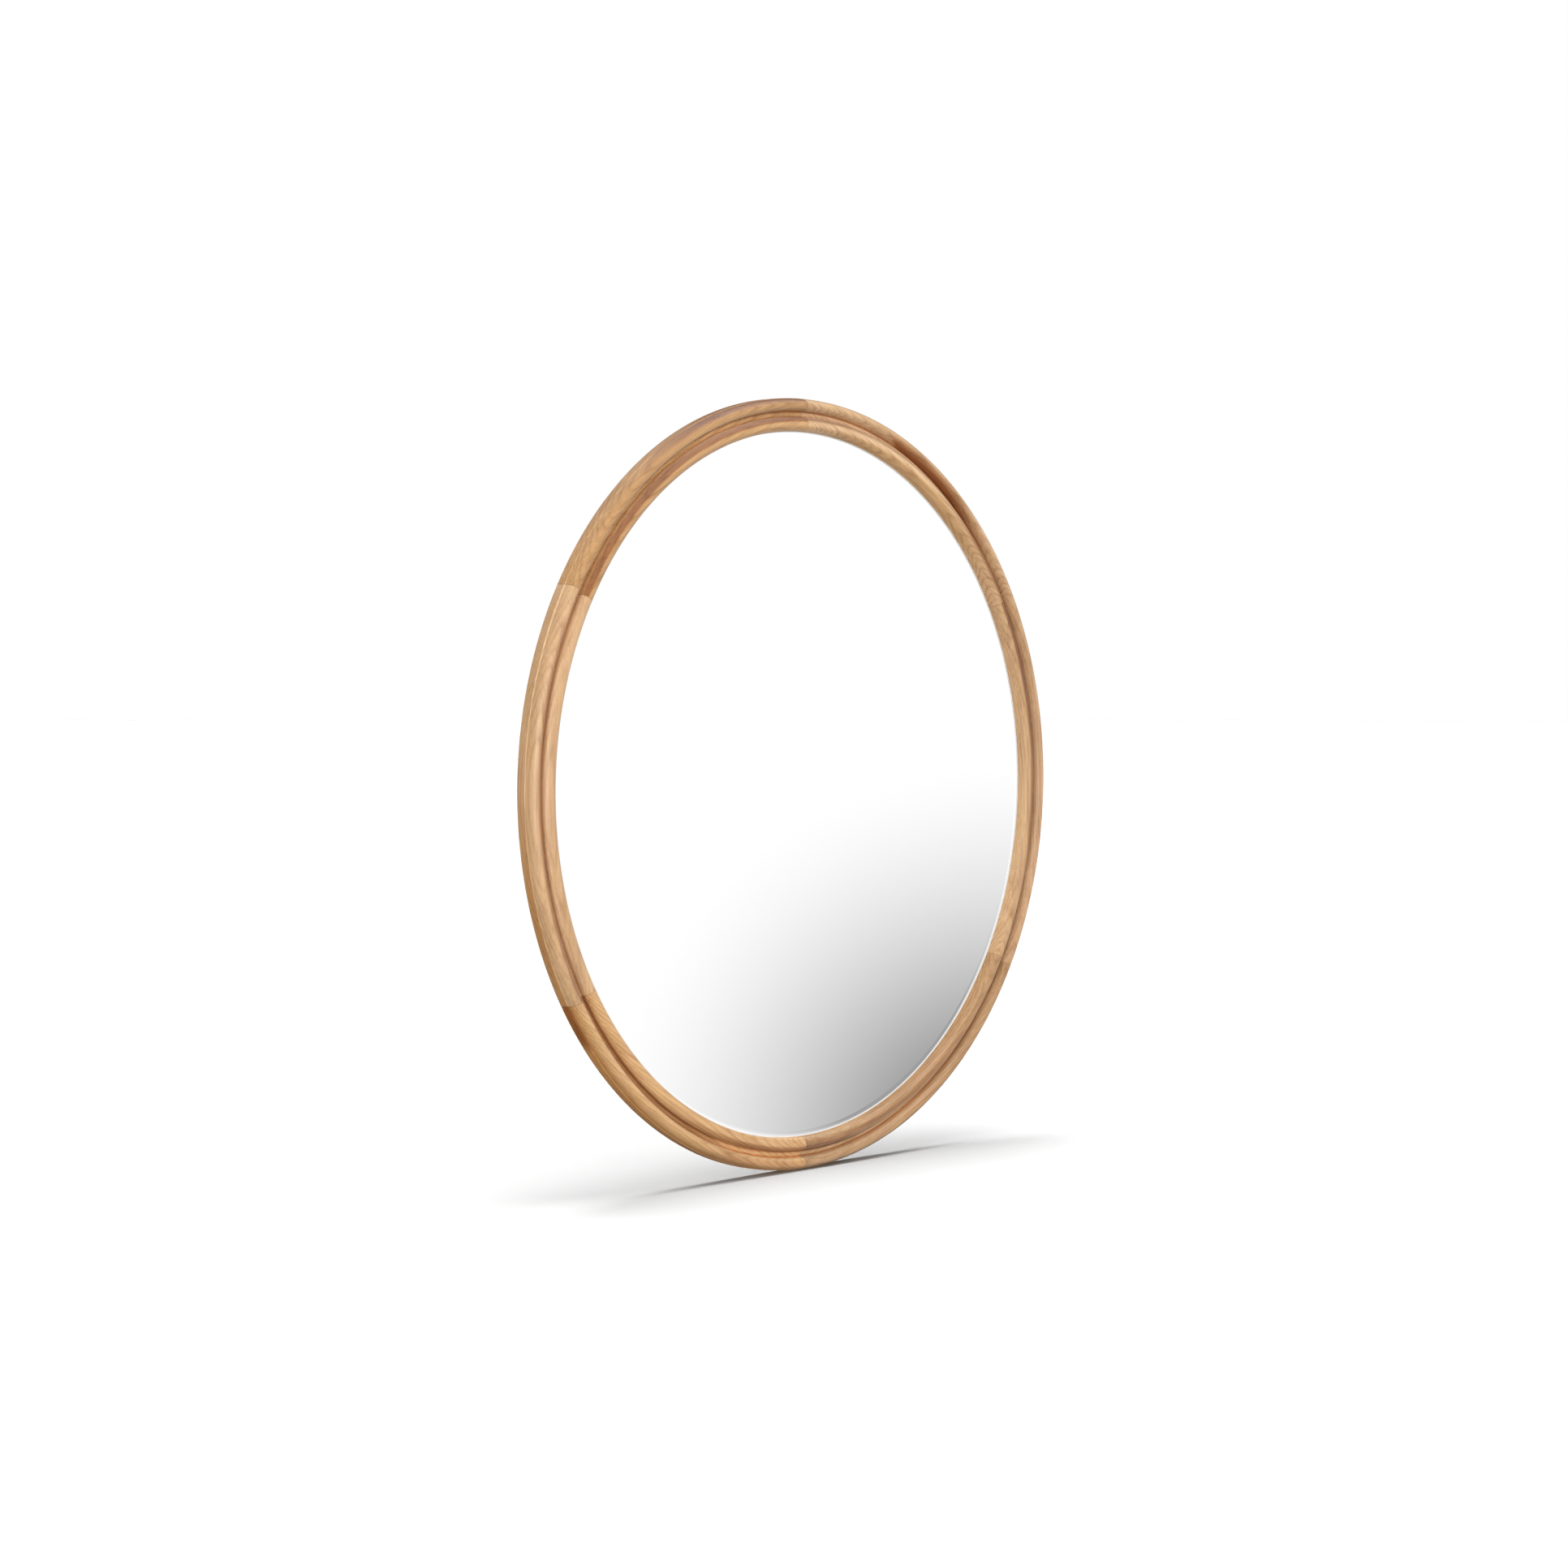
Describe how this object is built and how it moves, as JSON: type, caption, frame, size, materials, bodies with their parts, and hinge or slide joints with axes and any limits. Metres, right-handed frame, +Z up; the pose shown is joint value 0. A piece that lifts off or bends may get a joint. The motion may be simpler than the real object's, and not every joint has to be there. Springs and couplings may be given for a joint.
{
  "type": "wall mirror",
  "caption": "Round wall mirror with a moulded solid oak frame of curved segments, silvered glass in a rear rabbet, hinged hanger rings and turn buttons at the back.",
  "frame": {"origin": "the point on the wall plane straight behind the centre of the glass", "axes": "+Z up, +Y out of the back towards the wall, so the glass faces -Y; +X is right as seen from the front"},
  "size_m": [0.8, 0.0283, 0.8],
  "materials": {
    "oak_light": "clear satin lacquer, light pinkish tan oak",
    "oak_mid": "clear satin lacquer, mid tan oak",
    "oak_warm": "clear satin lacquer, warm orange tan oak",
    "oak_brown": "clear satin lacquer, pinkish brown oak",
    "beech": "raw compressed beech",
    "foam_tape": "off-white closed-cell foam",
    "silvered_glass": "polished silvered float glass",
    "hardboard": "smooth tempered hardboard, bare",
    "zinc_steel": "bright zinc plated",
    "bumper_rubber": "matte black rubber"
  },
  "bodies": {
    "frame": {"frame_segment_right": "oak_light", "frame_segment_top_right": "oak_mid", "frame_segment_top_left": "oak_mid", "frame_segment_left": "oak_light", "frame_segment_bottom_left": "oak_warm", "frame_segment_bottom_right": "oak_brown", "joint_tenon_lower_right": "beech", "joint_tenon_upper_right": "beech", "joint_tenon_top": "beech", "joint_tenon_upper_left": "beech", "joint_tenon_lower_left": "beech", "joint_tenon_bottom": "beech", "bedding_tape": "foam_tape", "mirror_glass": "silvered_glass", "backing_board": "hardboard", "turn_button_screws": "zinc_steel", "hanger_strap_left": "zinc_steel", "hanger_strap_right": "zinc_steel", "hanger_screws": "zinc_steel", "wall_bumper_upper_right": "bumper_rubber", "wall_bumper_upper_left": "bumper_rubber", "wall_bumper_lower_left": "bumper_rubber", "wall_bumper_lower_right": "bumper_rubber"},
    "button_right": {"turn_button_right": "zinc_steel"},
    "button_top_right": {"turn_button_top_right": "zinc_steel"},
    "button_top_left": {"turn_button_top_left": "zinc_steel"},
    "button_left": {"turn_button_left": "zinc_steel"},
    "button_bottom_left": {"turn_button_bottom_left": "zinc_steel"},
    "button_bottom_right": {"turn_button_bottom_right": "zinc_steel"},
    "ring_right": {"hanger_ring_right": "zinc_steel"},
    "ring_left": {"hanger_ring_left": "zinc_steel"}
  },
  "joints": [
    {"name": "button_right_turn", "type": "hinge", "parent": "frame", "child": "button_right", "pos_m": [0.388, -0.006, -0.00169], "axis": [0, 1, 0], "continuous": true},
    {"name": "button_top_right_turn", "type": "hinge", "parent": "frame", "child": "button_top_right", "pos_m": [0.18662, -0.006, 0.34017], "axis": [0, 1, 0], "continuous": true},
    {"name": "button_top_left_turn", "type": "hinge", "parent": "frame", "child": "button_top_left", "pos_m": [-0.19692, -0.006, 0.33431], "axis": [0, 1, 0], "continuous": true},
    {"name": "button_left_turn", "type": "hinge", "parent": "frame", "child": "button_left", "pos_m": [-0.38799, -0.006, -0.00339], "axis": [0, 1, 0], "continuous": true},
    {"name": "button_bottom_left_turn", "type": "hinge", "parent": "frame", "child": "button_bottom_left", "pos_m": [-0.19546, -0.006, -0.33517], "axis": [0, 1, 0], "continuous": true},
    {"name": "button_bottom_right_turn", "type": "hinge", "parent": "frame", "child": "button_bottom_right", "pos_m": [0.18365, -0.006, -0.34179], "axis": [0, 1, 0], "continuous": true},
    {"name": "ring_right_swing", "type": "hinge", "parent": "frame", "child": "ring_right", "pos_m": [0.3599, -0.003, 0.13099], "axis": [0.9397, 0, 0.342], "range_deg": [-2, 186]},
    {"name": "ring_left_swing", "type": "hinge", "parent": "frame", "child": "ring_left", "pos_m": [-0.3599, -0.003, 0.13099], "axis": [0.9397, 0, -0.342], "range_deg": [-2, 186]}
  ]
}
